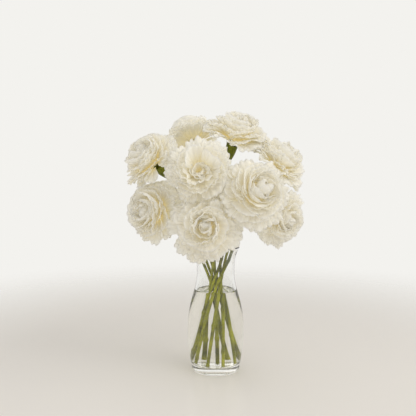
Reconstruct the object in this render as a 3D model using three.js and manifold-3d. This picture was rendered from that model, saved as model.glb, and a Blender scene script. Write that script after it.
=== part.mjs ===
// A vase of cut carnations: a clear glass vase, two thirds full of water, that holds
// nine white carnations on their stems. Millimetres, +Z up, +Y towards the back.
// The origin is the middle of the vase's foot, on the surface it stands on.
import * as THREE from "three";
import { mergeVertices } from "three/addons/utils/BufferGeometryUtils.js";
import Module from "manifold-3d";

const wasm = await Module();
wasm.setup();

const GAP = 0.4; // clearance between pieces that touch

// Vase
const VASE_HEIGHT = 148;
const FOOT_RADIUS = 28;
const HEEL_RADIUS = 3; // rounding under the foot
const BELLY_RADIUS = 33.3;
const BELLY_HEIGHT = 48;
const NECK_RADIUS = 22.2;
const NECK_HEIGHT = 117;
const RIM_RADIUS = 28.7;
const WALL = 2.6;
const FLOOR_THICKNESS = 9;
const WATER_LEVEL = 96;
const VASE_SIDES = 36;

// Stems
const STEM_RADIUS = 1.8;
const STEM_SIDES = 7;
const STEM_STEPS = 18;
const CROSSING_HEIGHT = 99; // where the stems cross, just above the water
const CROSSING_ROOM = 1.12; // slanting stems need this much more room side by side
const MOUTH_LEAN = 1.5; // room between the rim and a stem that leans towards it
const FAN_TWIST = Math.PI / 2.6; // turn about the vase from a stem's crossing to its cut end

// Flower heads
const HEAD_RADIUS = 36; // an open head, from its middle to the tips of the guard petals
const HEAD_DEPTH = 27; // from the guard petals to the top of the dome
const GUARD_DISH = 8; // how far the guard petals rise from the calyx to their tips
const GUARD_THICKNESS = 5;
const DOME_SHARE = 0.8; // the inner petals' dome reaches this far out over the guard petals
const CALYX_LENGTH = 25;
const CALYX_RADIUS = 6.8;
const CALYX_FOOT_RADIUS = 3.4;
const HEAD_SIDES = 20;

// Leaves
const LEAF_LENGTH = 34;
const LEAF_WIDTH = 5;
const LEAF_THICKNESS = 0.9;

// The heads stand round the middle of the bouquet, this far above the rim.
const BOUQUET_HEIGHT = 62;

// One entry for each flower. place is the middle of its guard petals, in head radii
// from the middle of the bouquet, so heads that touch still touch when they are larger.
// size compares it with a usual head. Its stem crosses the others at slot, in eighths
// of a turn (null is the middle), and passes the rim at mouth, in shares of the room
// across and back. bend is how far the stem runs straight behind the calyx, and
// forward is how much room the head takes from the heads behind it.
const FLOWERS = [
  {
    place: [-2.05, -0.22, 1.07], faces: [-0.62, -0.5, 0.6], size: 1.0,
    slot: 2, mouth: [-0.72, 0.3], bend: 20, forward: 0,
  },
  {
    place: [-0.73, 1.25, 1.81], faces: [-0.18, 0.42, 0.89], size: 1.0,
    slot: 1, mouth: [-0.4, 0.85], bend: 20, forward: -2,
  },
  {
    place: [0.63, 0.14, 1.84], faces: [0.3, -0.32, 0.9], size: 1.06,
    slot: 0, mouth: [0.35, 0.7], bend: 20, forward: 0,
  },
  {
    place: [1.98, 0, 0.93], faces: [0.7, -0.3, 0.65], size: 1.03,
    slot: 7, mouth: [0.72, 0.4], bend: 20, forward: 0,
  },
  {
    place: [-0.5, -1.25, 0.72], faces: [0.02, -0.9, 0.42], size: 1.02,
    slot: null, mouth: [-0.1, 0.45], bend: 22, forward: 5,
  },
  {
    place: [1.14, -1.33, 0.06], faces: [0.3, -0.92, 0.22], size: 1.06,
    slot: 5, mouth: [0.4, -0.15], bend: 18, forward: 9,
  },
  {
    place: [-1.88, -0.69, -0.49], faces: [-0.68, -0.72, 0.12], size: 1.02,
    slot: 3, mouth: [-0.95, -0.1], bend: 16, forward: 0,
  },
  {
    place: [-0.31, -1.44, -0.93], faces: [-0.02, -0.99, 0.02], size: 1.08,
    slot: 4, mouth: [-0.15, -0.35], bend: 16, forward: 5,
  },
  {
    place: [2.05, -0.39, -0.76], faces: [0.62, -0.74, -0.22], size: 0.95,
    slot: 6, mouth: [0.88, -0.27], bend: 17, forward: -2,
  },
];

// Pairs of leaves: the flower they grow on, how far up its stem, the turn of the pair
// about the stem, their length compared with a usual leaf, and how far they arch away
// from the stem, in degrees.
const LEAF_PAIRS = [
  { flower: 9, along: 0.58, turn: 5, size: 0.65, spread: 28 },
  { flower: 3, along: 0.8, turn: 30, size: 0.8, spread: 80 },
  { flower: 1, along: 0.84, turn: 75, size: 0.8, spread: 80 },
  { flower: 7, along: 0.78, turn: 90, size: 0.6, spread: 70 },
  { flower: 2, along: 0.85, turn: 15, size: 1.0, spread: 80 },
  { flower: 4, along: 0.82, turn: 100, size: 0.9, spread: 75 },
];

const glass = new THREE.MeshStandardMaterial({ color: 0xe9efec, roughness: 0.03, metalness: 0,
  transparent: true, opacity: 0.3 });
const water = new THREE.MeshStandardMaterial({ color: 0xdfe6dc, roughness: 0.02, metalness: 0,
  transparent: true, opacity: 0.3 });
const stemGreen = new THREE.MeshStandardMaterial({ color: 0x64663f, roughness: 0.6, metalness: 0 });
const calyxGreen = new THREE.MeshStandardMaterial({ color: 0x7c8453, roughness: 0.6, metalness: 0 });
const leafGreen = new THREE.MeshStandardMaterial({ color: 0x5f6e4d, roughness: 0.65, metalness: 0 });
const outerCream = new THREE.MeshStandardMaterial({ color: 0xd9d0bd, roughness: 0.75, metalness: 0 });
const innerCream = new THREE.MeshStandardMaterial({ color: 0xe4dccb, roughness: 0.7, metalness: 0 });

const up = new THREE.Vector3(0, 0, 1);

// Joins a geometry's shared corners and hands it to the boolean library.
function toSolid(geometry) {
  const bare = geometry.clone();
  bare.deleteAttribute("normal");
  bare.deleteAttribute("uv");
  const merged = mergeVertices(bare, 1e-4);
  return new wasm.Manifold(new wasm.Mesh({
    numProp: 3,
    vertProperties: new Float32Array(merged.attributes.position.array),
    triVerts: new Uint32Array(merged.index.array),
  }));
}

function fromSolid(solid) {
  const mesh = solid.getMesh();
  const geometry = new THREE.BufferGeometry();
  geometry.setAttribute("position", new THREE.BufferAttribute(mesh.vertProperties, 3));
  geometry.setIndex(new THREE.BufferAttribute(mesh.triVerts, 1));
  geometry.computeVertexNormals();
  return geometry;
}

// Spins an outline of [radius, height] points about the Z axis.
function spun(outline, sides) {
  const points = outline.map(([radius, height]) => new THREE.Vector2(radius, height));
  return new THREE.LatheGeometry(points, sides).rotateX(Math.PI / 2);
}

function polar(radius, angle, height) {
  return new THREE.Vector3(radius * Math.cos(angle), radius * Math.sin(angle), height);
}

// The vase's outer radius at a height: a quarter sine from foot to belly, a late
// half cosine from belly to neck, and a flare that opens fastest at the rim.
function vaseRadius(height) {
  if (height <= BELLY_HEIGHT) {
    const rise = Math.sin((Math.PI / 2) * (height / BELLY_HEIGHT));
    return FOOT_RADIUS + (BELLY_RADIUS - FOOT_RADIUS) * rise;
  }
  if (height <= NECK_HEIGHT) {
    const fall = ((height - BELLY_HEIGHT) / (NECK_HEIGHT - BELLY_HEIGHT)) ** 1.25;
    return NECK_RADIUS + ((BELLY_RADIUS - NECK_RADIUS) * (1 + Math.cos(Math.PI * fall))) / 2;
  }
  const flare = ((height - NECK_HEIGHT) / (VASE_HEIGHT - NECK_HEIGHT)) ** 3.2;
  return NECK_RADIUS + (RIM_RADIUS - NECK_RADIUS) * flare;
}

// Heights from one level to another, close enough together to follow the curve.
function levels(from, to, step = 8) {
  const count = Math.max(2, Math.round((to - from) / step));
  return Array.from({ length: count + 1 }, (_, i) => from + ((to - from) * i) / count);
}

// The vase is blown in one piece: a flat foot with a rounded heel, a thick floor, and
// a wall of even thickness up to the flared rim, which is rounded over.
function vaseGeometry() {
  const top = VASE_HEIGHT - WALL / 2;
  const outline = [[0, 0], [FOOT_RADIUS - HEEL_RADIUS, 0]];
  for (const turn of [0.25, 0.5, 0.75]) {
    const angle = (turn * Math.PI) / 2;
    outline.push([
      vaseRadius(HEEL_RADIUS) - HEEL_RADIUS * (1 - Math.sin(angle)),
      HEEL_RADIUS * (1 - Math.cos(angle)),
    ]);
  }
  levels(HEEL_RADIUS, top).forEach((height) => outline.push([vaseRadius(height), height]));
  outline.push([vaseRadius(top) - WALL / 2, VASE_HEIGHT]);
  levels(FLOOR_THICKNESS, top).reverse()
    .forEach((height) => outline.push([vaseRadius(height) - WALL, height]));
  outline.push([0, FLOOR_THICKNESS]);
  return spun(outline, VASE_SIDES);
}

// The water fills the vase to its level and leaves a channel round each stem.
function waterGeometry(stemPaths) {
  const bottom = FLOOR_THICKNESS + GAP;
  const outline = [[0, bottom]];
  levels(bottom, WATER_LEVEL)
    .forEach((height) => outline.push([vaseRadius(height) - WALL - GAP, height]));
  outline.push([0, WATER_LEVEL]);
  let body = toSolid(spun(outline, VASE_SIDES));
  for (const path of stemPaths) {
    body = body.subtract(toSolid(stemGeometry(path, STEM_RADIUS + GAP)));
  }
  return fromSolid(body);
}

// Where a flower stands: the middle of its guard petals, the way it faces, and the
// foot of its calyx, where the stem ends.
function standing(flower) {
  const [across, back, rise] = flower.place;
  const middle = new THREE.Vector3(across, back, rise).multiplyScalar(HEAD_RADIUS);
  middle.z += VASE_HEIGHT + BOUQUET_HEIGHT;
  const facing = new THREE.Vector3(...flower.faces).normalize();
  const calyxFoot = middle.clone().addScaledVector(facing, -(GUARD_DISH + CALYX_LENGTH + GAP));
  return { ...flower, middle, facing, calyxFoot };
}

// Where a stem passes through the vase's mouth at a height, clear of the glass.
function throughMouth(flower, height) {
  const room = vaseRadius(height) - WALL - STEM_RADIUS - MOUTH_LEAN;
  return new THREE.Vector3(room * flower.mouth[0], room * flower.mouth[1], height);
}

// A stem's centre line. It stands on the vase's floor, crosses the other stems in its
// own slot, leans out through the mouth, and turns into line with its calyx.
function stemPath(flower) {
  const pitch = (2 * STEM_RADIUS + 2 * GAP) * CROSSING_ROOM;
  const inTheMiddle = flower.slot === null;
  const angle = inTheMiddle ? 0 : (flower.slot * Math.PI) / 4;
  const crossingRadius = inTheMiddle ? 0 : pitch / (2 * Math.sin(Math.PI / 8));
  const floorRadius = inTheMiddle ? pitch : vaseRadius(FLOOR_THICKNESS) - WALL - 3 * STEM_RADIUS;
  const foot = polar(floorRadius, angle - FAN_TWIST, FLOOR_THICKNESS + GAP + STEM_RADIUS / 4);
  const crossing = polar(crossingRadius, angle, CROSSING_HEIGHT);

  const behind = flower.calyxFoot.clone().addScaledVector(flower.facing, -flower.bend);
  const throat = throughMouth(flower, (NECK_HEIGHT + VASE_HEIGHT) / 2);
  const mouth = throughMouth(flower, VASE_HEIGHT);
  const climb = mouth.clone().sub(throat).normalize();
  const arch = new THREE.CubicBezierCurve3(
    mouth,
    mouth.clone().addScaledVector(climb, mouth.distanceTo(flower.calyxFoot) * 0.4),
    behind,
    flower.calyxFoot.clone().addScaledVector(flower.facing, -2 * STEM_RADIUS),
  );
  const end = flower.calyxFoot.clone().addScaledVector(flower.facing, -GAP);
  const route = [foot, crossing, throat, ...arch.getPoints(10), end];
  return new THREE.CatmullRomCurve3(route, false, "centripetal");
}

function stemGeometry(path, radius) {
  const ring = new THREE.Shape();
  for (let side = 0; side < STEM_SIDES; side += 1) {
    const angle = (2 * Math.PI * side) / STEM_SIDES;
    ring[side ? "lineTo" : "moveTo"](radius * Math.cos(angle), radius * Math.sin(angle));
  }
  ring.closePath();
  return new THREE.ExtrudeGeometry(ring, { extrudePath: path, steps: STEM_STEPS });
}

// Puts a shape made about the Z axis on a flower, turned to the way it faces.
function place(geometry, flower, distance) {
  const turn = new THREE.Quaternion().setFromUnitVectors(up, flower.facing);
  const at = flower.middle.clone().addScaledVector(flower.facing, distance);
  return geometry.applyQuaternion(turn).translate(at.x, at.y, at.z);
}

// The calyx is a long green cup, narrow where the stem meets it.
function calyxGeometry(flower) {
  const outline = [
    [0, 0],
    [CALYX_FOOT_RADIUS * 0.8, 0],
    [CALYX_FOOT_RADIUS * 1.15, CALYX_LENGTH * 0.12],
    [CALYX_RADIUS * 0.86, CALYX_LENGTH * 0.42],
    [CALYX_RADIUS, CALYX_LENGTH * 0.8],
    [CALYX_RADIUS * 0.96, CALYX_LENGTH],
    [0, CALYX_LENGTH],
  ];
  return place(spun(outline, 12), flower, -(GUARD_DISH + CALYX_LENGTH + GAP));
}

// The guard petals open into a shallow dish on top of the calyx.
function guardOutline(radius) {
  return [
    [0, -GUARD_DISH],
    [CALYX_RADIUS, -GUARD_DISH],
    [radius * 0.45, -GUARD_DISH * 0.62],
    [radius * 0.92, -GUARD_DISH * 0.05],
    [radius, GUARD_THICKNESS * 0.4],
    [radius * 0.96, GUARD_THICKNESS],
    [radius * DOME_SHARE, GUARD_THICKNESS * 0.7],
    [radius * 0.4, -GUARD_DISH * 0.25],
    [0, -GUARD_DISH * 0.45],
  ];
}

// The inner petals fill the dish and rise to a low dome.
function domeOutline(radius) {
  return [
    [0, -GUARD_DISH * 0.45 + GAP],
    [radius * 0.4, -GUARD_DISH * 0.25 + GAP],
    [radius * DOME_SHARE, GUARD_THICKNESS * 0.7 + GAP],
    [radius * DOME_SHARE, HEAD_DEPTH * 0.42],
    [radius * DOME_SHARE * 0.84, HEAD_DEPTH * 0.76],
    [radius * DOME_SHARE * 0.45, HEAD_DEPTH * 0.96],
    [0, HEAD_DEPTH],
  ];
}

// Heads that touch flatten against each other. Each is cut back to a plane between
// it and its neighbour, and the one further forward keeps more of its petals.
function pressed(geometry, flower, flowers) {
  let solid = toSolid(geometry);
  for (const other of flowers) {
    if (other === flower) continue;
    const towards = other.middle.clone().sub(flower.middle);
    const apart = towards.length();
    if (apart > 3 * HEAD_RADIUS) continue;
    towards.normalize();
    const reach = (apart + flower.forward - other.forward - GAP) / 2;
    const offset = towards.dot(flower.middle) + reach;
    solid = solid.trimByPlane([-towards.x, -towards.y, -towards.z], -offset);
  }
  return fromSolid(solid);
}

// A leaf is a narrow blade with a keel. It leaves the stem along the stem's own
// direction and arches outwards to a pointed tip. A pair that isn't turned grows
// sideways, round the vase's axis.
function leafGeometry(path, pair, side) {
  const start = path.getPointAt(pair.along);
  const along = path.getTangentAt(pair.along);
  const across = new THREE.Vector3(-start.y, start.x, 0).projectOnPlane(along).normalize();
  const angle = THREE.MathUtils.degToRad(pair.turn) + side * Math.PI;
  const out = across.applyAxisAngle(along, angle);
  const flat = along.clone().cross(out);
  const length = LEAF_LENGTH * pair.size;
  const spread = THREE.MathUtils.degToRad(pair.spread);
  start.addScaledVector(out, STEM_RADIUS + GAP + LEAF_THICKNESS);

  const stations = 7;
  const corners = [];
  for (let i = 0; i <= stations; i += 1) {
    const t = i / stations;
    const bow = spread * t;
    const spine = start.clone()
      .addScaledVector(along, (length * Math.sin(bow)) / spread)
      .addScaledVector(out, (length * (1 - Math.cos(bow))) / spread);
    const half = ((LEAF_WIDTH * pair.size) / 2) * Math.sin(Math.PI * (0.18 + 0.8 * t)) ** 0.8;
    const normal = out.clone().multiplyScalar(Math.cos(bow)).addScaledVector(along, -Math.sin(bow));
    corners.push(
      spine.clone().addScaledVector(flat, half),
      spine.clone().addScaledVector(normal, LEAF_THICKNESS / 2),
      spine.clone().addScaledVector(flat, -half),
      spine.clone().addScaledVector(normal, -LEAF_THICKNESS / 2),
    );
  }
  const faces = [[0, 1, 2], [0, 2, 3]];
  for (let i = 0; i < stations; i += 1) {
    for (let k = 0; k < 4; k += 1) {
      const a = 4 * i + k;
      const b = 4 * i + ((k + 1) % 4);
      faces.push([a, a + 4, b], [b, a + 4, b + 4]);
    }
  }
  const last = 4 * stations;
  faces.push([last, last + 2, last + 1], [last, last + 3, last + 2]);
  const geometry = new THREE.BufferGeometry().setFromPoints(corners);
  geometry.setIndex(faces.flat());
  geometry.computeVertexNormals();
  return geometry;
}

function named(name, geometry, material) {
  const mesh = new THREE.Mesh(geometry, material);
  mesh.name = name;
  return mesh;
}

const flowers = FLOWERS.map(standing);
const paths = flowers.map(stemPath);

const group = new THREE.Group();
group.add(named("vase", vaseGeometry(), glass));
group.add(named("water", waterGeometry(paths), water));
flowers.forEach((flower, i) => {
  const number = i + 1;
  const radius = HEAD_RADIUS * flower.size;
  const guard = place(spun(guardOutline(radius), HEAD_SIDES), flower, 0);
  const dome = place(spun(domeOutline(radius), HEAD_SIDES), flower, 0);
  group.add(named(`stem_${number}`, stemGeometry(paths[i], STEM_RADIUS), stemGreen));
  group.add(named(`calyx_${number}`, calyxGeometry(flower), calyxGreen));
  group.add(named(`outer_petals_${number}`, pressed(guard, flower, flowers), outerCream));
  group.add(named(`inner_petals_${number}`, pressed(dome, flower, flowers), innerCream));
});
LEAF_PAIRS.forEach((pair) => {
  ["a", "b"].forEach((letter, side) => {
    const leaf = leafGeometry(paths[pair.flower - 1], pair, side);
    group.add(named(`leaf_${pair.flower}${letter}`, leaf, leafGreen));
  });
});

export default group;
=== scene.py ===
import math

import bmesh
import bpy
import numpy as np
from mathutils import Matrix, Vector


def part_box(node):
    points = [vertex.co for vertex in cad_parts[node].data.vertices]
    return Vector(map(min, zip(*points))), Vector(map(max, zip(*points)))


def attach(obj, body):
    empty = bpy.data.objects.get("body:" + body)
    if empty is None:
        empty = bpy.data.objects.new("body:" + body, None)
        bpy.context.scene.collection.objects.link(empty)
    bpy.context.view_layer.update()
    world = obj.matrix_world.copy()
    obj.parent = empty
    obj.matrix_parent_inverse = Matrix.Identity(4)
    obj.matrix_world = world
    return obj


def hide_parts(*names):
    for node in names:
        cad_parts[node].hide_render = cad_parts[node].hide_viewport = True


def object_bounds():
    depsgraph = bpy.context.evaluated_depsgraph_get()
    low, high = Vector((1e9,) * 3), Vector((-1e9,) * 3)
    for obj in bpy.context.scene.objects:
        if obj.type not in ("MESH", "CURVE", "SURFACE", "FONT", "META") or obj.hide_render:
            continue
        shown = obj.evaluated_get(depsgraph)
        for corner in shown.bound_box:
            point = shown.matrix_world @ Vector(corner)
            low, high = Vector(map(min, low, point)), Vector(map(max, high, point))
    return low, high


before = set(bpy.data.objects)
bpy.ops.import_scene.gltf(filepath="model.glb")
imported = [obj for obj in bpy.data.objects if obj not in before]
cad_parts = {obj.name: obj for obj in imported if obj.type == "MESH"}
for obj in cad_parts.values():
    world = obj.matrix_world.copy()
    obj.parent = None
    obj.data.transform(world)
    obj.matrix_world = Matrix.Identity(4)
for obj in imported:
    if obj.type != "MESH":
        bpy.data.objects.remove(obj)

# A vase of cut carnations: a clear glass vase, two thirds full of water, and nine
# white carnations that cross in its neck. Metres, +Z up, +Y towards the back.
cad_box = [list(corner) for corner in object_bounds()]
MM = 0.001


# ---------------------------------------------------------------------------
# Camera, floor and light
# The camera looks slightly down on the vase. A plain pale floor, a little glossy,
# fades out into pale surroundings. A broad soft lamp stands up to the right in front,
# and a weaker one to the left behind.
# ---------------------------------------------------------------------------
CAMERA_PLACE = (-0.0091, -0.6756, 0.2482)
CAMERA_DOWN = 4.67
LENS = 50
SENSOR = 36
FLOOR_RADIUS = 0.8
FLOOR_SIDES = 64
FADE_FROM = 0.3
FADE_TO = 0.95
FLOOR_COLOUR = (0.85, 0.818, 0.76, 1)
SURROUNDINGS = (0.897, 0.888, 0.856, 1)
ROOM_LIGHT = (0.755, 0.743, 0.733, 1)
REFLECTED_ROOM = (0.36, 0.35, 0.335, 1)

scene = bpy.context.scene
scene.view_settings.view_transform = "Standard"
scene.cycles.max_bounces = 20
scene.cycles.diffuse_bounces = 14
scene.cycles.glossy_bounces = 12
scene.cycles.transmission_bounces = 20

lens = bpy.data.cameras.new("camera")
lens.lens = LENS
lens.sensor_width = SENSOR
camera = bpy.data.objects.new("camera", lens)
camera.location = CAMERA_PLACE
camera.rotation_euler = (math.radians(90 - CAMERA_DOWN), 0, 0)
scene.collection.objects.link(camera)
scene.camera = camera


def new_material(name):
    """An empty node material, its Principled shader and a function that adds a node."""
    made = bpy.data.materials.new(name)
    made.use_nodes = True
    shader = made.node_tree.nodes["Principled BSDF"]
    return made, shader, adder(made.node_tree)


def adder(tree):
    """A function that adds a node to a tree, sets its fields and links its inputs."""

    def add(kind, fields=None, **inputs):
        node = tree.nodes.new(kind)
        for field, value in (fields or {}).items():
            setattr(node, field, value)
        for key, value in inputs.items():
            socket = node.inputs[int(key[1:])] if key[1:].isdigit() else node.inputs[key.replace("_", " ")]
            if isinstance(value, bpy.types.NodeSocket):
                tree.links.new(value, socket)
            else:
                socket.default_value = value
        return node

    return add


def connect(material, source, target):
    material.node_tree.links.new(source, target)


def colour_mix(add, share, first, second):
    """A mix of two colours: the first where the share is 0, the second where it is 1."""
    mix = add("ShaderNodeMix", {"data_type": "RGBA"}, _0=share, _6=first, _7=second)
    return mix.outputs[2]


def grid_quads(rows, columns, round_rows=False, round_columns=False):
    """Corner numbers of the quads of a grid, which may close on itself either way."""
    row = np.arange(rows if round_rows else rows - 1)[:, None]
    column = np.arange(columns if round_columns else columns - 1)[None, :]
    next_row, next_column = (row + 1) % rows, (column + 1) % columns
    corners = [row * columns + column, row * columns + next_column,
               next_row * columns + next_column, next_row * columns + column]
    return np.stack([c + 0 * row + 0 * column for c in corners], axis=-1).reshape(-1, 4)


def new_piece(name, points, quads, material, uv=None, weld=False):
    """A mesh object from arrays of corners and quads, with each corner's own UV."""
    mesh = bpy.data.meshes.new(name)
    mesh.vertices.add(len(points))
    mesh.vertices.foreach_set("co", np.ascontiguousarray(points, np.float32).ravel())
    mesh.loops.add(quads.size)
    mesh.loops.foreach_set("vertex_index", quads.ravel().astype(np.int32))
    mesh.polygons.add(len(quads))
    mesh.polygons.foreach_set("loop_start", np.arange(0, quads.size, 4, dtype=np.int32))
    mesh.update(calc_edges=True)
    if uv is not None:
        layer = mesh.uv_layers.new(name="UVMap")
        layer.data.foreach_set("uv", uv[quads.ravel()].astype(np.float32).ravel())
    if weld:
        shape = bmesh.new()
        shape.from_mesh(mesh)
        bmesh.ops.remove_doubles(shape, verts=shape.verts, dist=1e-6)
        bmesh.ops.dissolve_degenerate(shape, edges=shape.edges, dist=1e-7)
        shape.to_mesh(mesh)
        shape.free()
    mesh.shade_smooth()
    mesh.materials.append(material)
    made = bpy.data.objects.new(name, mesh)
    scene.collection.objects.link(made)
    return made


def spun(profile, sides):
    """A profile of (radius, height) carried round Z: x = r cos a, y = r sin a."""
    angle = np.linspace(0, 2 * np.pi, sides, endpoint=False)
    radius, height = profile[:, 0, None], profile[:, 1, None]
    return np.stack(
        [radius * np.cos(angle), radius * np.sin(angle), height + 0 * angle], axis=-1
    ).reshape(-1, 3)


floor_paint, shader, add = new_material("pale_floor")
place = add("ShaderNodeTexCoord").outputs["Object"]
distance = add("ShaderNodeVectorMath", {"operation": "LENGTH"}, _0=place).outputs["Value"]
fade = add("ShaderNodeMapRange", {"interpolation_type": "SMOOTHSTEP"}, _0=distance,
           _1=FLOOR_RADIUS * FADE_FROM, _2=FLOOR_RADIUS * FADE_TO, _3=1.0, _4=0.0)
shader.inputs["Base Color"].default_value = FLOOR_COLOUR
shader.inputs["Roughness"].default_value = 0.3
shader.inputs["Specular IOR Level"].default_value = 0.25
connect(floor_paint, fade.outputs[0], shader.inputs["Alpha"])
floor_profile = np.array([[0, 0]] + [[FLOOR_RADIUS * share, 0] for share in (0.05, 0.2, 0.5, 1)])
floor = new_piece("floor", spun(floor_profile, FLOOR_SIDES),
                  grid_quads(len(floor_profile), FLOOR_SIDES, round_columns=True), floor_paint, weld=True)

world = bpy.data.worlds.new("surroundings")
scene.world = world
world.use_nodes = True
add = adder(world.node_tree)
background = world.node_tree.nodes["Background"]
ray = add("ShaderNodeLightPath")
seen = add("ShaderNodeMath", {"operation": "MAXIMUM"}, _0=ray.outputs["Is Camera Ray"],
           _1=ray.outputs["Is Transmission Ray"])
unseen = colour_mix(add, ray.outputs["Is Glossy Ray"], ROOM_LIGHT, REFLECTED_ROOM)
tone = colour_mix(add, seen.outputs[0], unseen, SURROUNDINGS)
world.node_tree.links.new(tone, background.inputs["Color"])


def soft_lamp(name, place, size, power, colour):
    """A square area lamp that faces the middle of the bouquet."""
    lamp = bpy.data.lights.new(name, "AREA")
    lamp.size, lamp.energy, lamp.color = size, power, colour
    made = bpy.data.objects.new(name, lamp)
    made.location = place
    aim = np.array([0, 0, cad_box[1][2] * 0.6]) - np.array(place)
    made.rotation_euler = (
        math.atan2(math.hypot(aim[0], aim[1]), -aim[2]), 0, math.atan2(aim[1], aim[0]) - math.pi / 2)
    scene.collection.objects.link(made)


soft_lamp("key_lamp", place=(0.75, -0.45, 0.95), size=0.7, power=3.4, colour=(1.0, 0.99, 0.985))
soft_lamp("back_lamp", place=(-0.5, 0.8, 0.9), size=0.8, power=1.0, colour=(1.0, 0.99, 0.98))


# ---------------------------------------------------------------------------
# Vase
# Clear soda glass, blown in a mould in one piece: a thick floor, an even wall, and
# a rim that was flared and fire-polished round.
# ---------------------------------------------------------------------------
VASE_SIDES = 160
PROFILE_STEPS = 120
GLASS_TINT = (0.994, 0.997, 0.99, 1)
GLASS_SHADE = (0.94, 0.94, 0.92, 1)
GLASS_IOR = 1.5


def cad_mesh(node):
    """A CAD node's separate corners and its triangles, with doubled corners joined."""
    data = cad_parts[node].data
    co = np.empty(len(data.vertices) * 3, np.float32)
    data.vertices.foreach_get("co", co)
    data.calc_loop_triangles()
    triangles = np.empty(len(data.loop_triangles) * 3, np.int32)
    data.loop_triangles.foreach_get("vertices", triangles)
    keys = np.round(co.reshape(-1, 3) / 2e-6).astype(np.int64)
    _, first, joined = np.unique(keys, axis=0, return_index=True, return_inverse=True)
    return co.reshape(-1, 3)[first].astype(float), joined.ravel()[triangles].reshape(-1, 3)


def smooth(points, count):
    """A curve through points, evenly spaced along the chords: cubic Hermite pieces
    whose slopes are the central differences at each point."""
    points = np.asarray(points, float)
    chords = np.linalg.norm(np.diff(points, axis=0), axis=1)
    places = np.concatenate([[0], np.cumsum(chords)])
    slopes = np.gradient(points, places, axis=0)
    where = np.linspace(0, places[-1], count)
    piece = np.clip(np.searchsorted(places, where, side="right") - 1, 0, len(chords) - 1)
    gap = chords[piece][:, None]
    t = (where[:, None] - places[piece][:, None]) / gap
    return ((2 * t**3 - 3 * t**2 + 1) * points[piece]
            + (t**3 - 2 * t**2 + t) * slopes[piece] * gap
            + (3 * t**2 - 2 * t**3) * points[piece + 1]
            + (t**3 - t**2) * slopes[piece + 1] * gap)


def wall_points(node):
    """The (radius, height) points of a CAD turned wall, outer face and inner face
    apart, by the way each triangle faces, from low to high."""
    corners, triangles = cad_mesh(node)
    a, b, c = corners[triangles[:, 0]], corners[triangles[:, 1]], corners[triangles[:, 2]]
    normal = np.cross(b - a, c - a)
    normal /= np.linalg.norm(normal, axis=1, keepdims=True) + 1e-20
    middle = (a + b + c) / 3
    outward = (normal[:, :2] * middle[:, :2]).sum(1) / (np.linalg.norm(middle[:, :2], axis=1) + 1e-9)
    walls = []
    for side in (outward > 0.2, outward < -0.2):
        points = corners[np.unique(triangles[side])]
        profile = np.stack([np.hypot(points[:, 0], points[:, 1]), points[:, 2]], axis=1)
        profile = profile[np.argsort(profile[:, 1])]
        new = np.concatenate([[True], np.diff(profile[:, 1]) > 1e-5])
        walls.append(profile[new])
    return walls


def foot_arc(radius, foot, low, steps):
    """A quarter round from flat to upright, of that radius, that ends at (foot, low + radius)."""
    turn = np.linspace(0, np.pi / 2, steps)[:, None]
    return np.concatenate([foot - radius * (1 - np.sin(turn)), low + radius * (1 - np.cos(turn))], axis=1)


outer_wall, inner_wall = wall_points("vase")
vase_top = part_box("vase")[1].z
HEEL = 3 * MM
FLOOR_HEEL = 4 * MM
FOOT_RING = 2.5 * MM
FOOT_RISE = 2.2 * MM
RIM_DEPTH = 1 * MM
ARC_STEPS = 9
RIM_STEPS = 13
HOLLOW_STEPS = 12
outer_wall = outer_wall[outer_wall[:, 1] > HEEL * 0.99]
inner_floor = inner_wall[:, 1].min()
outer_line = smooth(outer_wall[outer_wall[:, 1] < vase_top - RIM_DEPTH], PROFILE_STEPS)
inner_line = smooth(inner_wall[inner_wall[:, 1] < vase_top - RIM_DEPTH], PROFILE_STEPS)
rim_half = (outer_line[-1, 0] - inner_line[-1, 0]) / 2
rim_turn = np.linspace(0, np.pi, RIM_STEPS)[1:-1, None]
rim_centre = (outer_line[-1] + inner_line[-1]) / 2
rim_lift = vase_top - rim_centre[1] - rim_half
rim_line = np.concatenate([
    rim_centre[0] + rim_half * np.cos(rim_turn),
    rim_centre[1] + rim_lift + rim_half * np.sin(rim_turn)], axis=1)
inner_arc = foot_arc(FLOOR_HEEL, np.interp(inner_floor + FLOOR_HEEL, inner_line[:, 1], inner_line[:, 0]),
                     inner_floor, ARC_STEPS)
hollow_turn = np.linspace(0, np.pi / 2, HOLLOW_STEPS)[:, None]
foot_hollow = np.concatenate([
    (outer_line[0, 0] - HEEL - FOOT_RING) * np.sin(hollow_turn),
    FOOT_RISE * np.cos(hollow_turn) ** 2], axis=1)
vase_profile = np.concatenate([
    foot_hollow,
    foot_arc(HEEL, outer_line[0, 0], 0, ARC_STEPS)[:-1],
    outer_line,
    rim_line,
    inner_line[inner_line[:, 1] > inner_floor + FLOOR_HEEL][::-1],
    inner_arc[::-1],
    [[inner_arc[0, 0] * 0.5, inner_floor], [0, inner_floor]],
])



def clear_material(name, tint, ior, shade):
    """A clear, smooth material. Shadow rays and rays of scattered light pass straight
    through it, dimmed to the shade, so that what is behind it is lit."""
    made, shader, add = new_material(name)
    shader.inputs["Base Color"].default_value = tint
    shader.inputs["Roughness"].default_value = 0.0
    shader.inputs["IOR"].default_value = ior
    shader.inputs["Transmission Weight"].default_value = 1.0
    clear = add("ShaderNodeBsdfTransparent", Color=shade)
    ray = add("ShaderNodeLightPath")
    lighting = add("ShaderNodeMath", {"operation": "MAXIMUM"}, _0=ray.outputs["Is Shadow Ray"],
                   _1=ray.outputs["Is Diffuse Ray"])
    mixed = add("ShaderNodeMixShader", _0=lighting.outputs[0], _1=shader.outputs[0], _2=clear.outputs[0])
    connect(made, mixed.outputs[0], made.node_tree.nodes["Material Output"].inputs["Surface"])
    return made


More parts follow.
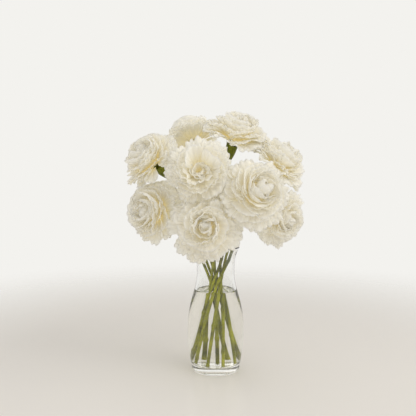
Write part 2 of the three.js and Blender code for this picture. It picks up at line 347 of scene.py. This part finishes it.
glass = clear_material("clear_glass", GLASS_TINT, GLASS_IOR, GLASS_SHADE)
vase = new_piece("glass_vase", spun(vase_profile, VASE_SIDES),
                 grid_quads(len(vase_profile), VASE_SIDES, round_columns=True), glass, weld=True)
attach(vase, "root")
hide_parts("vase")


# ---------------------------------------------------------------------------
# Water
# Tap water that has stood with the stems in it, so it is faintly green. It wets the
# glass, and its surface climbs a little at the wall.
# ---------------------------------------------------------------------------
INTO_GLASS = 0.15 * MM
MENISCUS = 1.6 * MM
MENISCUS_REACH = 1.4 * MM
SURFACE_STEPS = 16
WATER_TINT = (0.998, 0.991, 0.963, 1)
WATER_SHADE = (0.965, 0.96, 0.925, 1)
WATER_IOR = 1.333

water_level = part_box("water")[1].z
wetted = inner_line[(inner_line[:, 1] > inner_floor + FLOOR_HEEL) & (inner_line[:, 1] < water_level)]
surface = np.linspace(1, 0, SURFACE_STEPS)[:, None]
edge = np.interp(water_level, inner_line[:, 1], inner_line[:, 0])
climb = MENISCUS * np.exp(-(1 - surface) * edge / MENISCUS_REACH)
surface_line = np.concatenate([edge * surface, water_level - MENISCUS * 0.6 + climb], axis=1)
water_profile = np.concatenate([
    [[0, inner_floor - INTO_GLASS], [inner_arc[0, 0] * 0.5, inner_floor - INTO_GLASS]],
    inner_arc + [INTO_GLASS, -INTO_GLASS],
    wetted + [INTO_GLASS, 0],
    surface_line + [INTO_GLASS, 0] * surface,
])
water_look = clear_material("standing_water", WATER_TINT, WATER_IOR, WATER_SHADE)
water = new_piece("standing_water", spun(water_profile, VASE_SIDES),
                  grid_quads(len(water_profile), VASE_SIDES, round_columns=True), water_look, weld=True)
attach(water, "root")
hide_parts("water")


# ---------------------------------------------------------------------------
# Stems
# Cut carnation stems: round, smooth and waxy green, with a swollen joint every few
# centimetres, cut straight across at the foot.
# ---------------------------------------------------------------------------
STEM_CORNERS = 7
STEM_SIDES = 20
STEM_STEPS = 150
JOINT_SPACING = 47 * MM
JOINT_LENGTH = 2.2 * MM
JOINT_SWELL = 0.34
JOINT_STAGGER = 0.37
STEM_TAPER = 0.16
FLOWERS = range(1, 10)


def stations(node, size, start):
    """The centre and corners of each cross-section of a CAD bar, from the end that is
    nearest to start: from one ring of corners to the next across shared edges."""
    corners, triangles = cad_mesh(node)
    edges = np.concatenate([triangles[:, [0, 1]], triangles[:, [1, 2]], triangles[:, [2, 0]]])
    joined = np.zeros((len(corners), len(corners)), bool)
    joined[edges[:, 0], edges[:, 1]] = joined[edges[:, 1], edges[:, 0]] = True
    tip = np.argmin(np.linalg.norm(corners - start, axis=1))
    ring = np.argsort(np.linalg.norm(corners - corners[tip], axis=1))[:size]
    seen = np.zeros(len(corners), bool)
    rings = []
    while len(ring):
        seen[ring] = True
        rings.append(corners[ring])
        ring = np.flatnonzero(joined[ring].any(0) & ~seen)
    return np.array([r.mean(0) for r in rings]), rings


def blotches():
    """Node group: a slow mottle and a fine grain, both from 0 to 1, on Object places."""
    group = bpy.data.node_groups.new("blotches", "ShaderNodeTree")
    group.interface.new_socket("Scale", in_out="INPUT", socket_type="NodeSocketFloat")
    for name in ("Mottle", "Grain"):
        group.interface.new_socket(name, in_out="OUTPUT", socket_type="NodeSocketFloat")
    add = adder(group)
    inside, outside = add("NodeGroupInput"), add("NodeGroupOutput")
    place = add("ShaderNodeTexCoord").outputs["Object"]
    slow = add("ShaderNodeTexNoise", None, Vector=place, Scale=inside.outputs[0], Detail=3.0)
    finer = add("ShaderNodeMath", {"operation": "MULTIPLY"}, _0=inside.outputs[0], _1=9.0)
    fine = add("ShaderNodeTexNoise", None, Vector=place, Scale=finer.outputs[0], Detail=4.0)
    group.links.new(slow.outputs[0], outside.inputs[0])
    group.links.new(fine.outputs[0], outside.inputs[1])
    return group


BLOTCHES = blotches()


def green_material(name, dark, light, roughness, scale, coat=0.0, bump=0.06 * MM):
    """A plant green between two colours by its mottle, with fine grain in the bump."""
    made, shader, add = new_material(name)
    spots = add("ShaderNodeGroup", {"node_tree": BLOTCHES}, _0=scale)
    spread = add("ShaderNodeMapRange", None, _0=spots.outputs[0], _1=0.35, _2=0.65)
    colour = colour_mix(add, spread.outputs[0], dark, light)
    relief = add("ShaderNodeBump", None, Distance=bump, Strength=0.6, Height=spots.outputs[1])
    connect(made, colour, shader.inputs["Base Color"])
    connect(made, relief.outputs[0], shader.inputs["Normal"])
    shader.inputs["Roughness"].default_value = roughness
    shader.inputs["Specular IOR Level"].default_value = 0.25
    shader.inputs["Coat Weight"].default_value = coat
    shader.inputs["Coat Roughness"].default_value = 0.3
    return made


def tube(path, radii, sides):
    """A path given thickness: each point of the path is the centre of a ring that is
    square to it, at that point's radius. Known fault: a doubled end point has no
    direction, so its ring gets no valid place and that end of the tube stays open."""
    along = np.gradient(path, axis=0)
    along /= np.linalg.norm(along, axis=1, keepdims=True)
    side = np.cross(along, [1.0, 0, 0])
    side /= np.linalg.norm(side, axis=1, keepdims=True)
    other = np.cross(along, side)
    turn = np.linspace(0, 2 * np.pi, sides, endpoint=False)[None, :, None]
    spokes = np.cos(turn) * side[:, None] + np.sin(turn) * other[:, None]
    return (path[:, None] + radii[:, None, None] * spokes).reshape(-1, 3)


stem_green = green_material("stem_green", (0.12, 0.13, 0.001, 1), (0.45, 0.46, 0.010, 1), 0.5, 55.0)
stem_lines = {}
for number in FLOWERS:
    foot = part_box(f"stem_{number}")[0].z
    centres, rings = stations(f"stem_{number}", STEM_CORNERS, (0, 0, foot - 1))
    line = smooth(centres, STEM_STEPS)
    stem_lines[number] = line
    girth = np.linalg.norm(rings[1] - centres[1], axis=1).mean()
    walked = np.concatenate([[0], np.cumsum(np.linalg.norm(np.diff(line, axis=0), axis=1))])
    from_joint = (walked + number * JOINT_STAGGER * JOINT_SPACING) % JOINT_SPACING - JOINT_SPACING / 2
    swell = JOINT_SWELL * np.exp(-((from_joint / JOINT_LENGTH) ** 2))
    slim = 1 - STEM_TAPER * walked / walked[-1]
    radii = girth * slim * (1 + swell)
    path = np.concatenate([line[:1], line, line[-1:]])
    radii = np.concatenate([[0], radii, [0]])
    stem = new_piece(f"carnation_stem_{number}", tube(path, radii, STEM_SIDES),
                     grid_quads(len(path), STEM_SIDES, round_columns=True), stem_green, weld=True)
    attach(stem, "root")
    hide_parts(f"stem_{number}")


# ---------------------------------------------------------------------------
# Calyxes
# The green cup that holds each flower's petals: ribbed, widest near its mouth, with
# five pointed teeth round the mouth and two pairs of short scales at its foot.
# ---------------------------------------------------------------------------
CALYX_SIDES = 80
CALYX_STEPS = 34
TEETH = 5
TOOTH_LENGTH = 3.2 * MM
RIB_DEPTH = 0.10 * MM
CALYX_WALL = 0.5 * MM
CALYX_WIDEST = 0.8
SCALE_LENGTH = 7.5 * MM
SCALE_SHEET = 0.35 * MM
SCALE_COLUMNS = 9
SCALE_ROWS = 14
PETAL_SEAT = 8.4 * MM

# Each scale's turn round the calyx, its size, and how far it stands off in millimetres.
SCALES = (
    (0.3, 1.0, 0.7),
    (0.3 + np.pi, 1.0, 0.7),
    (0.3 + np.pi / 2, 1.25, 0.3),
    (0.3 + 3 * np.pi / 2, 1.25, 0.3),
)


def head_frame(number):
    """Where a flower stands: the middle of its petals, the way it faces, and the right
    and up that go with that facing. The calyx is longest along the way it faces."""
    corners, _ = cad_mesh(f"calyx_{number}")
    middle = corners.mean(0)
    facing = np.linalg.svd(corners - middle)[2][0]
    facing *= np.sign((middle - stem_lines[number][-1]) @ facing)
    along = (corners - middle) @ facing
    mouth = corners[along > along.max() - 0.05 * MM].mean(0)
    up = np.array([0, 0, 1.0]) - facing[2] * facing
    up /= np.linalg.norm(up)
    return mouth + PETAL_SEAT * facing, facing, np.cross(up, facing), up, along.max() - along.min()


def stand(points, head):
    """Carries points from a flower's own right, up and facing to where it stands."""
    middle, facing, right, up, _ = head
    return middle + points[..., :1] * right + points[..., 1:2] * up + points[..., 2:] * facing


def calyx_shape(length, widest, foot):
    """A double-walled cup. Its radius swells from the foot to widest at 4/5 of the
    length, and its rim rises and falls as five teeth: |cos| of five half turns."""
    turn = np.linspace(0, 2 * np.pi, CALYX_SIDES, endpoint=False)[None, :]
    tooth = 1 - np.abs(np.sin(TEETH * turn / 2)) ** 0.8
    share = np.linspace(0, 1, CALYX_STEPS)[:, None]
    rim = length + TOOTH_LENGTH * tooth
    height = share * rim
    swell = np.sin(np.clip(height / (CALYX_WIDEST * length), 0, 1) * np.pi / 2) ** 0.85
    flare = np.clip((height - CALYX_WIDEST * length) / length, 0, None)
    radius = foot + (widest - foot) * swell + 2 * widest * flare**2
    ribs = RIB_DEPTH * np.cos(4 * TEETH * turn) * np.sin(np.pi * np.clip(share, 0.05, 1)) ** 0.5
    outer = np.stack([(radius + ribs) * np.cos(turn), (radius + ribs) * np.sin(turn), height], axis=-1)
    inner_radius = np.clip(radius - CALYX_WALL, 0, None)
    inner = np.stack([inner_radius * np.cos(turn), inner_radius * np.sin(turn), height - 0.2 * MM], axis=-1)
    shoulder = outer[:1] * [0.6, 0.6, 1] - [0, 0, 0.5 * MM]
    bottom = outer[:1] * [0, 0, 1] - [0, 0, 0.6 * MM]
    hollow = inner[8:9] * [0, 0, 1]
    return np.concatenate([bottom, shoulder, outer, inner[::-1][:-8], hollow])


def scales(length, girth):
    """Two crossed pairs of leaf-like scales that hug the calyx's foot. Each is a
    pointed oval, bent round the calyx, that stands off a little at its tip."""
    u = np.linspace(-1, 1, SCALE_COLUMNS)[None, :]
    v = np.linspace(0, 1, SCALE_ROWS)[:, None]
    half = np.sin(np.pi * np.clip(0.25 + 0.75 * v, 0, 1)) ** 0.9 * 1.15
    sheets = []
    for turn, size, off in SCALES:
        angle = turn + u * half
        radius = girth * (1.05 + 0.28 * v) + off * MM * (0.3 + v**2) + 0.25 * MM * np.abs(u)
        height = size * length * v
        sheets.append(np.stack([radius * np.cos(angle), radius * np.sin(angle), height + 0 * u], axis=-1))
    return np.stack(sheets)


def two_faced(sheets, thickness, uv):
    """Thin sheets made closed: each is given a second face below it, and the two are
    joined all round their edges. Sheets are (sheet, row, column, xyz)."""
    count, rows, columns, _ = sheets.shape
    down, over = np.gradient(sheets, axis=1), np.gradient(sheets, axis=2)
    normal = np.cross(over, down)
    normal /= np.linalg.norm(normal, axis=-1, keepdims=True) + 1e-12
    points = np.stack([sheets + normal * thickness / 2, sheets - normal * thickness / 2], axis=1)
    number = np.arange(2 * rows * columns).reshape(2, rows, columns)
    top, under = number
    faces = [grid_quads(rows, columns), grid_quads(rows, columns)[:, ::-1] + rows * columns]
    for upper, lower in ((top[0], under[0]), (top[::-1, 0], under[::-1, 0]),
                         (top[-1, ::-1], under[-1, ::-1]), (top[:, -1], under[:, -1])):
        faces.append(np.stack([upper[:-1], lower[:-1], lower[1:], upper[1:]], axis=-1))
    faces = np.concatenate(faces)
    quads = (faces[None] + 2 * rows * columns * np.arange(count)[:, None, None]).reshape(-1, 4)
    both = np.broadcast_to(uv[:, None], (count, 2, rows, columns, 2)).reshape(-1, 2)
    return points.reshape(-1, 3), quads, both


def sheet_uv(count, rows, columns):
    across = np.broadcast_to(np.linspace(0, 1, columns)[None, None, :], (count, rows, columns))
    along = np.broadcast_to(np.linspace(0, 1, rows)[None, :, None], (count, rows, columns))
    return np.stack([across, along], axis=-1)


calyx_green = green_material("calyx_green", (0.12, 0.145, 0.010, 1), (0.22, 0.235, 0.022, 1), 0.5, 90.0)
heads = {}
for number in FLOWERS:
    head = heads[number] = head_frame(number)
    length = head[4]
    corners, _ = cad_mesh(f"calyx_{number}")
    from_axis = corners - head[0]
    away = np.linalg.norm(from_axis - (from_axis @ head[1])[:, None] * head[1], axis=1)
    low = away[(from_axis @ head[1]) < -PETAL_SEAT - length * 0.98].max()
    cup = calyx_shape(length - 0.6 * TOOTH_LENGTH, away.max() - 0.2 * MM, low)
    leafy = scales(SCALE_LENGTH, low)
    scale_points, scale_quads, _ = two_faced(leafy, SCALE_SHEET, sheet_uv(*leafy.shape[:3]))
    cup_quads = grid_quads(len(cup), CALYX_SIDES, round_columns=True)
    points = np.concatenate([cup.reshape(-1, 3), scale_points]) - [0, 0, PETAL_SEAT + length]
    quads = np.concatenate([cup_quads, scale_quads + cup.shape[0] * CALYX_SIDES])
    calyx = new_piece(f"carnation_calyx_{number}", stand(points, head), quads, calyx_green, weld=True)
    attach(calyx, "root")
    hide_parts(f"calyx_{number}")


# ---------------------------------------------------------------------------
# Leaves
# Narrow pointed blades, keeled along the middle, thick and waxy. A few pairs are
# left on the stems above the water.
# ---------------------------------------------------------------------------
LEAF_COLUMNS = 9
LEAF_ROWS = 40
LEAF_SHEET = 0.45 * MM
LEAF_KEEL = 0.35

leaf_green = green_material(
    "leaf_green", (0.10, 0.13, 0.035, 1), (0.19, 0.225, 0.085, 1), 0.45, 70.0, coat=0.1)


def blade(node):
    """A CAD leaf as a keeled blade: its cross-sections' long axis gives the width and
    the side it lies to, and the blade folds up a little on both sides of its middle."""
    corners, _ = cad_mesh(node)
    stem_line = stem_lines[int(node[5])]
    low = corners[np.argmin(np.linalg.norm(corners - stem_line[:, None], axis=-1).min(0))]
    centres, rings = stations(node, 4, low)
    wide = np.array([ring[np.argmax(np.linalg.norm(ring - centre, axis=1))] - centre if len(ring) > 1
                     else centre * 0 for ring, centre in zip(rings, centres)])
    wide *= np.where((wide @ wide[len(wide) // 2]) < 0, -1, 1)[:, None]
    line, half = smooth(centres, LEAF_ROWS), smooth(wide, LEAF_ROWS)
    along = np.gradient(line, axis=0)
    upper = np.cross(half, along)
    upper /= np.linalg.norm(upper, axis=1, keepdims=True) + 1e-12
    u = np.linspace(-1, 1, LEAF_COLUMNS)[None, :, None]
    width = np.linalg.norm(half, axis=1)[:, None, None]
    return line[:, None] + u * half[:, None] + LEAF_KEEL * width * (np.abs(u) ** 1.4 - 0.5) * upper[:, None]


for node in sorted(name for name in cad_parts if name.startswith("leaf_")):
    sheet = blade(node)[None]
    points, quads, uv = two_faced(sheet, LEAF_SHEET, sheet_uv(*sheet.shape[:3]))
    leaf = new_piece(f"carnation_{node}", points, quads, leaf_green, uv=uv)
    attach(leaf, "root")
    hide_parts(node)


# ---------------------------------------------------------------------------
# Petals
# Each flower is a ball of thin, fan-shaped petals set in rings in its calyx. The
# guard petals lie flat, and each ring within them stands more upright, to a rolled
# heart. The edges are scalloped and softly pleated. White, cream towards the claw.
# The petals give off a faint painted light, warmest at the throat, that fills the shade in the creases.
# ---------------------------------------------------------------------------
PETAL_SHEET = 0.28 * MM
CLAW = 0.12
OUTER_GRID = (36, 15)
INNER_GRID = (38, 13)

# Rings from the guard petals in to the heart, as shares of the flower's radius:
# petals, tip's distance from the axis, tip's height, lean of the tip in degrees from
# upright, half the fan's spread in degrees, cupping round the axis, and frill.
DOMED = (
    (13, 1.08, 0.01, 104, 21, 0.30, 1.5),
    (12, 1.00, 0.09, 94, 22, 0.30, 1.4),
    (9, 0.88, 0.27, 70, 32, 0.45, 1.2),
    (8, 0.75, 0.46, 40, 36, 0.75, 1.0),
    (6, 0.59, 0.61, 8, 38, 0.90, 0.8),
    (5, 0.42, 0.69, -26, 42, 1.00, 0.6),
    (4, 0.22, 0.72, -54, 44, 1.00, 0.9),
    (4, -0.04, 0.70, -76, 44, 0.90, 0.9),
)
CUPPED = (
    (12, 1.09, -0.02, 108, 22, 0.30, 1.6),
    (12, 1.00, 0.09, 96, 22, 0.30, 1.5),
    (9, 0.87, 0.28, 70, 30, 0.45, 1.4),
    (9, 0.76, 0.56, 34, 27, 0.75, 1.6),
    (8, 0.64, 0.70, 12, 28, 0.90, 1.8),
    (6, 0.38, 0.34, 50, 34, 0.50, 1.5),
    (5, 0.24, 0.38, 16, 34, 0.70, 1.3),
    (4, -0.05, 0.40, -62, 44, 0.80, 0.8),
)
OPEN = (
    (14, 1.06, 0.01, 104, 20, 0.30, 1.6),
    (13, 0.98, 0.09, 94, 21, 0.30, 1.5),
    (10, 0.86, 0.20, 80, 26, 0.35, 1.3),
    (7, 0.69, 0.41, 54, 36, 0.60, 1.4),
    (5, 0.53, 0.55, 16, 38, 0.80, 1.5),
    (5, 0.36, 0.60, -30, 40, 0.90, 1.3),
    (4, 0.17, 0.61, -56, 44, 1.00, 1.1),
    (4, -0.04, 0.58, -74, 46, 0.90, 1.0),
)
# Each flower's rings, how far its heart lies to the right and up of its middle, and
# the seed that its petals are drawn with.
HABITS = {
    1: (DOMED, (-0.04, 0.0), 201),
    2: (DOMED, (0.0, 0.0), 302),
    3: (DOMED, (0.05, 0.0), 203),
    4: (DOMED, (0.04, 0.04), 404),
    5: (CUPPED, (0.02, -0.16), 105),
    6: (DOMED, (0.14, 0.07), 206),
    7: (DOMED, (-0.08, 0.02), 407),
    8: (OPEN, (-0.02, 0.04), 208),
    9: (OPEN, (0.02, 0.0), 309),
}
GUARD_RINGS = 3
LOBE_WIDTH = 8.0 * MM
LOBE_DEPTH = 0.06
CRENATION_DEPTH = 0.02
PLEAT = 0.6 * MM
WAVE = 2.2 * MM
TUCK_ROOM = 4 * MM
TUCK_BACK = 0.9
TUCK_IN = 0.35
TUCK_NEAR = 2.3
FRONT_FIRST = (6, 5, 8, 3, 1, 4, 7, 9, 2)
GUARD_THROAT = (0.97, 0.945, 0.82, 1)
HEART_THROAT = (0.972, 0.945, 0.82, 1)
BLADE_DARKER = (0.984, 0.97, 0.92, 1)
BLADE_LIGHTER = (0.99, 0.982, 0.95, 1)
LIGHT_THROUGH = 0.5
# Painted light: the petals give off a faint light of their own, warm at the throat and a dim cream on the
# blade. It stands in for light scattered between the petals and lifts the shade in the creases.
THROAT_PAINTED_LIGHT = (1.0, 0.89, 0.66, 1)
BLADE_PAINTED_LIGHT = (0.16, 0.15, 0.135, 1)
PAINTED_LIGHT_STRENGTH = 0.08
VEINS = (60, 2.2, 1)


def fans(ring, radius, shift, grid, draw):
    """One ring of petals as sheets (petal, row, column, xyz) in the flower's own frame.
    A petal is a flat fan: row v and column u lie at v from the claw, turned by u times
    the spread. Its middle line is a cubic from the calyx to the tip, upright at first
    and leaning at the tip. The fan bends round that line to cup the axis, the outline
    is |sine| lobes, and the pleats are cosines that follow the lobes."""
    count, out, high, lean, spread, cupping, frill = ring
    columns, rows = grid

    def each(low, top):
        return draw.uniform(low, top, count)[:, None, None]

    u = np.linspace(-1, 1, columns)[None, None, :]
    v = np.linspace(CLAW, 1, rows)[None, :, None]
    azimuth = (2 * np.pi * (np.arange(count) / count + draw.uniform()))[:, None, None] + each(-0.3, 0.3)
    loose = 1 + 1.1 * (1 - abs(out))
    tip = radius * (out + loose * each(-0.06, 0.04)), radius * (high + loose * each(-0.06, 0.04))
    base = radius * (0.05 + 0.09 * out), -PETAL_SEAT + 1.5 * MM
    lean_end = np.radians(lean + loose * each(-11, 11))
    lean_start = np.radians(6 + 42 * out**3)
    reach = np.hypot(tip[0] - base[0], tip[1] - base[1])
    half_spread = np.radians(spread * each(0.88, 1.1))

    lobes = 2 * reach * half_spread / LOBE_WIDTH
    warped = u + 0.07 * np.sin(3.1 * u + each(0, 6.3)) + 0.03 * np.sin(7.7 * u + each(0, 6.3))
    phase = np.pi / 2 * lobes * warped + each(0, 6.3)
    notch = 1 - np.abs(np.sin(phase)) ** 0.75
    crenation = 1 - np.abs(np.sin(2.6 * phase + each(0, 6.3)))
    ragged = 0.4 + 0.6 * out**2
    cut_in = ragged * (LOBE_DEPTH * notch + CRENATION_DEPTH * crenation)
    outline = 1 - cut_in - 0.12 * u**4 - 0.05 * each(0, 1) * u**2
    from_claw = v * (1 + (outline - 1) * v**3)
    t = from_claw * np.cos(u * half_spread)
    x = reach * from_claw * np.sin(u * half_spread)

    curve = []
    slope = []
    for start, end, way_in, way_out in ((base[0], tip[0], np.sin(lean_start), np.sin(lean_end)),
                                        (base[1], tip[1], np.cos(lean_start), np.cos(lean_end))):
        m0, m1 = reach * way_in, reach * way_out
        curve.append((2 * t**3 - 3 * t**2 + 1) * start + (t**3 - 2 * t**2 + t) * m0
                     + (3 * t**2 - 2 * t**3) * end + (t**3 - t**2) * m1)
        slope.append(6 * (t**2 - t) * (start - end)
                     + (3 * t**2 - 4 * t + 1) * m0 + (3 * t**2 - 2 * t) * m1)
    steep = np.hypot(*slope) + 1e-9
    inward, upward = -slope[1] / steep, slope[0] / steep

    bend = cupping / np.maximum(curve[0], 0.16 * radius)
    sideways = np.sin(x * bend) / (bend + 1e-9)
    lift = (1 - np.cos(x * bend)) / (bend + 1e-9)
    slow = np.sin(2.2 * u + each(0, 6.3)) + 0.6 * np.sin(4.6 * u + each(0, 6.3))
    frills = frill * (PLEAT * v**2.2 * -np.cos(2 * phase) + WAVE * v**1.6 * 0.6 * slow)
    lift = lift + frills + x * np.tan(np.radians(13 + each(-11, 11)))

    around = curve[0] + inward * lift
    height = curve[1] + upward * lift
    side, ahead = -np.sin(azimuth), np.cos(azimuth)
    # Known fault: for a ring whose distance is over 1, this power is complex, and only
    # the real part of what follows reaches the mesh.
    inner = (1 - abs(out)) ** 0.6 * v
    return np.stack([
        around * ahead + sideways * side + shift[0] * radius * inner,
        around * -side + sideways * ahead + shift[1] * radius * inner,
        height], axis=-1)


def tucked(points, head, limits):
    """Flowers that lie against each other overlap: what passes the plane between two of
    them bends back behind the nearer one, by as much as it passes, and a little inwards."""
    for way, limit in limits:
        over = np.clip((points - head[0]) @ way - (limit - TUCK_ROOM), 0, None)
        soft = over**2 / (over + TUCK_ROOM)
        points = points - (TUCK_BACK * soft)[..., None] * head[1] - (TUCK_IN * soft)[..., None] * way
    return points


def tuck_limits(number):
    """For each near neighbour in front of this flower, the way to it and how far this
    flower's solid reaches that way."""
    head = heads[number]
    own = np.concatenate([cad_mesh(f"{kind}_petals_{number}")[0] for kind in ("outer", "inner")])
    limits = []
    for other in FRONT_FIRST[:FRONT_FIRST.index(number)]:
        way = heads[other][0] - head[0]
        apart = np.linalg.norm(way)
        if apart < TUCK_NEAR * head_radius[number]:
            limits.append((way / apart, ((own - head[0]) @ (way / apart)).max()))
    return limits


def petal_white(name, throat):
    """Petal: its colour runs from the throat to white along the fan, with faint veins
    fanning out across it, and it lets light through. It also gives off a faint painted
    light, warm at the throat, that fills the shade in the creases between petals."""
    made, shader, add = new_material(name)
    uv = add("ShaderNodeUVMap", {"uv_map": "UVMap"}).outputs[0]
    split = add("ShaderNodeSeparateXYZ", None, Vector=uv)
    along = add("ShaderNodeMapRange", {"interpolation_type": "SMOOTHSTEP"},
                _0=split.outputs[1], _1=0.15, _2=0.75)
    spots = add("ShaderNodeGroup", {"node_tree": BLOTCHES}, _0=60.0)
    blade_colour = colour_mix(add, spots.outputs[0], BLADE_DARKER, BLADE_LIGHTER)
    colour = colour_mix(add, along.outputs[0], throat, blade_colour)
    stretched = add("ShaderNodeMapping", None, Vector=uv)
    stretched.inputs["Scale"].default_value = VEINS
    vein = add("ShaderNodeTexNoise", None, Vector=stretched.outputs[0], Scale=1.0, Detail=2.0)
    relief = add("ShaderNodeBump", None, Distance=0.08 * MM, Strength=0.4, Height=vein.outputs[0])
    connect(made, colour, shader.inputs["Base Color"])
    connect(made, relief.outputs[0], shader.inputs["Normal"])
    shader.inputs["Roughness"].default_value = 0.62
    shader.inputs["Specular IOR Level"].default_value = 0.25
    # Painted light: a faint emission, warm at the throat, that fills the shade in the creases.
    painted_light = colour_mix(add, along.outputs[0], THROAT_PAINTED_LIGHT, BLADE_PAINTED_LIGHT)
    connect(made, painted_light, shader.inputs["Emission Color"])
    shader.inputs["Emission Strength"].default_value = PAINTED_LIGHT_STRENGTH
    through = add("ShaderNodeBsdfTranslucent", None, Color=colour, Normal=relief.outputs[0])
    mixed = add("ShaderNodeMixShader", None, _0=LIGHT_THROUGH, _1=shader.outputs[0], _2=through.outputs[0])
    connect(made, mixed.outputs[0], made.node_tree.nodes["Material Output"].inputs["Surface"])
    return made


outer_white = petal_white("guard_petal_white", GUARD_THROAT)
inner_white = petal_white("heart_petal_white", HEART_THROAT)

head_radius = {}
for number in FLOWERS:
    middle, facing = heads[number][:2]
    corners = cad_mesh(f"outer_petals_{number}")[0] - middle
    head_radius[number] = np.linalg.norm(corners - (corners @ facing)[:, None] * facing, axis=1).max()

for number in FLOWERS:
    rings, shift, seed = HABITS[number]
    draw = np.random.default_rng(seed)
    limits = tuck_limits(number)
    parts = (("outer", rings[:GUARD_RINGS], OUTER_GRID, outer_white),
             ("inner", rings[GUARD_RINGS:], INNER_GRID, inner_white))
    for kind, chosen, grid, material in parts:
        sheets = np.concatenate([fans(ring, head_radius[number], shift, grid, draw) for ring in chosen])
        placed = tucked(stand(sheets, heads[number]), heads[number], limits)
        points, quads, uv = two_faced(placed, PETAL_SHEET, sheet_uv(*placed.shape[:3]))
        petals = new_piece(f"{kind}_petals_of_flower_{number}", points, quads, material, uv=uv)
        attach(petals, "root")
        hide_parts(f"{kind}_petals_{number}")
